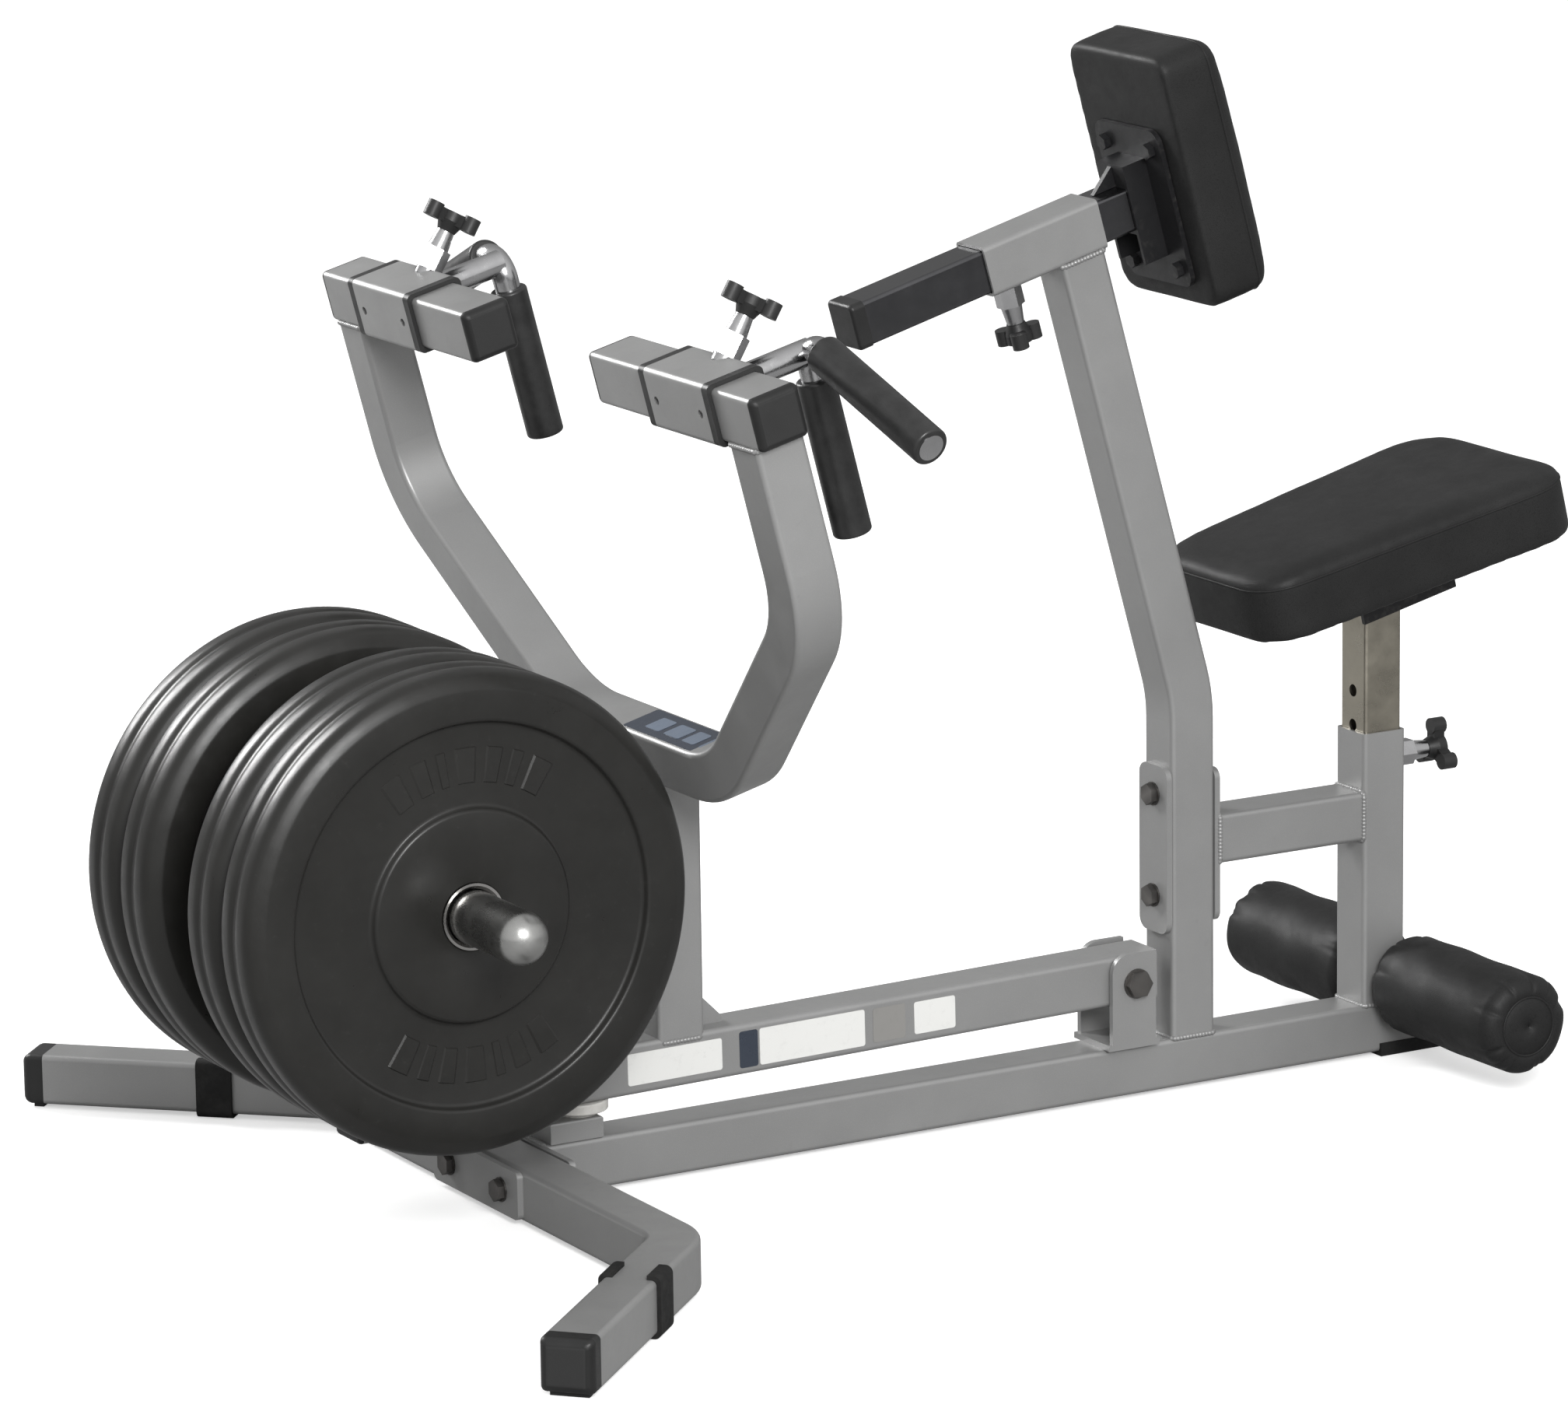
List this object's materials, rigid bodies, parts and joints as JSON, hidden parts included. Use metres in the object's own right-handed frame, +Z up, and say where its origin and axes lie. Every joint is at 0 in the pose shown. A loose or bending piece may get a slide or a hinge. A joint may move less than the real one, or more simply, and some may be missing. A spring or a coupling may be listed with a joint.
{
  "type": "seated lever row machine",
  "caption": "Seated plate-loaded row machine: pivoting lever with a yoke and sliding handles, weight horns with bumper plates, chest pad, adjustable seat and foam foot rollers.",
  "frame": {"origin": "middle of the footprint's bounding box, on the floor", "axes": "+X from the weight plates towards the seat, +Z up, +Y to the user's right as they face the plates, which are at -X; the machine is mirror-symmetric about Y = 0"},
  "size_m": [1.4938, 1.145, 1.0452],
  "materials": {
    "frame_paint": "satin silver-grey powder coat",
    "black_paint": "satin black",
    "black_bolts": "black oxide",
    "black_plastic": "semi-matte",
    "foot_rubber": "matte",
    "pale_rubber": "matte",
    "chrome": "polished",
    "nickel": "satin nickel",
    "grip_rubber": "semi-gloss",
    "plate_rubber": "satin",
    "hub_steel": "turned",
    "vinyl": "satin vinyl"
  },
  "bodies": {
    "frame": {"main_rail": "frame_paint", "front_stabilizer": "frame_paint", "mounting_plates": "frame_paint", "frame_bolts": "black_bolts", "stabilizer_end_caps": "black_plastic", "rubber_feet": "foot_rubber", "main_upright": "frame_paint", "seat_frame_tube": "frame_paint", "seat_post_sleeve": "frame_paint", "pivot_bracket": "frame_paint", "pivot_bolt": "black_bolts", "bump_stop": "frame_paint", "bump_pad": "pale_rubber", "chest_sleeve": "frame_paint", "roller_axle": "black_paint", "frame_pin_barrels": "chrome"},
    "lever": {"lever_tube": "frame_paint", "lever_post": "frame_paint", "post_gusset": "frame_paint", "horn_carrier": "frame_paint", "weight_horn": "chrome", "yoke_tube": "frame_paint", "crosspieces": "frame_paint", "lever_end_caps": "black_plastic", "pivot_bushes": "black_plastic"},
    "seat": {"seat_inner_post": "nickel", "seat_bracket": "black_paint", "seat_pad": "vinyl"},
    "seat_pin": {"seat_pin_plunger": "chrome", "seat_pin_knob": "black_plastic"},
    "chest_support": {"chest_tube": "chrome", "chest_tube_cap": "black_plastic", "chest_bracket": "black_paint", "chest_pad": "vinyl"},
    "chest_pin": {"chest_pin_plunger": "chrome", "chest_pin_knob": "black_plastic"},
    "left_carriage": {"left_carriage": "frame_paint", "left_carriage_bushes": "black_plastic", "left_pin_barrel": "chrome", "left_handle_bar": "chrome", "left_grips": "grip_rubber"},
    "left_handle_pin": {"left_pin_plunger": "chrome", "left_pin_knob": "black_plastic"},
    "left_inner_plate": {"left_inner_plate": "plate_rubber", "left_inner_plate_hub": "hub_steel"},
    "left_outer_plate": {"left_outer_plate": "plate_rubber", "left_outer_plate_hub": "hub_steel"},
    "left_foot_roller": {"left_foot_roller": "vinyl"},
    "right_carriage": {"right_carriage": "frame_paint", "right_carriage_bushes": "black_plastic", "right_pin_barrel": "chrome", "right_handle_bar": "chrome", "right_grips": "grip_rubber"},
    "right_handle_pin": {"right_pin_plunger": "chrome", "right_pin_knob": "black_plastic"},
    "right_inner_plate": {"right_inner_plate": "plate_rubber", "right_inner_plate_hub": "hub_steel"},
    "right_outer_plate": {"right_outer_plate": "plate_rubber", "right_outer_plate_hub": "hub_steel"},
    "right_foot_roller": {"right_foot_roller": "vinyl"}
  },
  "joints": [
    {"name": "lever_pivot", "type": "hinge", "parent": "frame", "child": "lever", "pos_m": [0.27706, 0, 0.119], "axis": [0, 1, 0], "range_deg": [0, 35]},
    {"name": "seat_height", "type": "slide", "parent": "frame", "child": "seat", "axis": [0, 0, 1], "range_m": [-0.07, 0.07]},
    {"name": "seat_pin_pull", "type": "slide", "parent": "frame", "child": "seat_pin", "axis": [1, 0, 0], "range_m": [0, 0.01], "stiffness_N_per_m": 900, "springref_m": -0.004},
    {"name": "chest_reach", "type": "slide", "parent": "frame", "child": "chest_support", "axis": [0.9636, 0, 0.2672], "range_m": [0, 0.1]},
    {"name": "chest_pin_pull", "type": "slide", "parent": "frame", "child": "chest_pin", "axis": [0.2672, 0, -0.9636], "range_m": [0, 0.01], "stiffness_N_per_m": 900, "springref_m": -0.004},
    {"name": "left_handle_slide", "type": "slide", "parent": "lever", "child": "left_carriage", "axis": [0, 1, 0], "range_m": [0, 0.096]},
    {"name": "left_handle_pin_pull", "type": "slide", "parent": "left_carriage", "child": "left_handle_pin", "axis": [0.506, 0, 0.8625], "range_m": [0, 0.01], "stiffness_N_per_m": 900, "springref_m": -0.004},
    {"name": "left_inner_plate_slide", "type": "slide", "parent": "lever", "child": "left_inner_plate", "axis": [0, -1, 0], "range_m": [0, 0.26]},
    {"name": "left_outer_plate_slide", "type": "slide", "parent": "left_inner_plate", "child": "left_outer_plate", "axis": [0, -1, 0], "range_m": [0, 0.19]},
    {"name": "left_roller_spin", "type": "hinge", "parent": "frame", "child": "left_foot_roller", "pos_m": [0.60006, 0, 0.074], "axis": [0, 1, 0], "continuous": true},
    {"name": "right_handle_slide", "type": "slide", "parent": "lever", "child": "right_carriage", "axis": [0, -1, 0], "range_m": [0, 0.096]},
    {"name": "right_handle_pin_pull", "type": "slide", "parent": "right_carriage", "child": "right_handle_pin", "axis": [0.506, 0, 0.8625], "range_m": [0, 0.01], "stiffness_N_per_m": 900, "springref_m": -0.004},
    {"name": "right_inner_plate_slide", "type": "slide", "parent": "lever", "child": "right_inner_plate", "axis": [0, 1, 0], "range_m": [0, 0.26]},
    {"name": "right_outer_plate_slide", "type": "slide", "parent": "right_inner_plate", "child": "right_outer_plate", "axis": [0, 1, 0], "range_m": [0, 0.19]},
    {"name": "right_roller_spin", "type": "hinge", "parent": "frame", "child": "right_foot_roller", "pos_m": [0.60006, 0, 0.074], "axis": [0, 1, 0], "continuous": true}
  ]
}
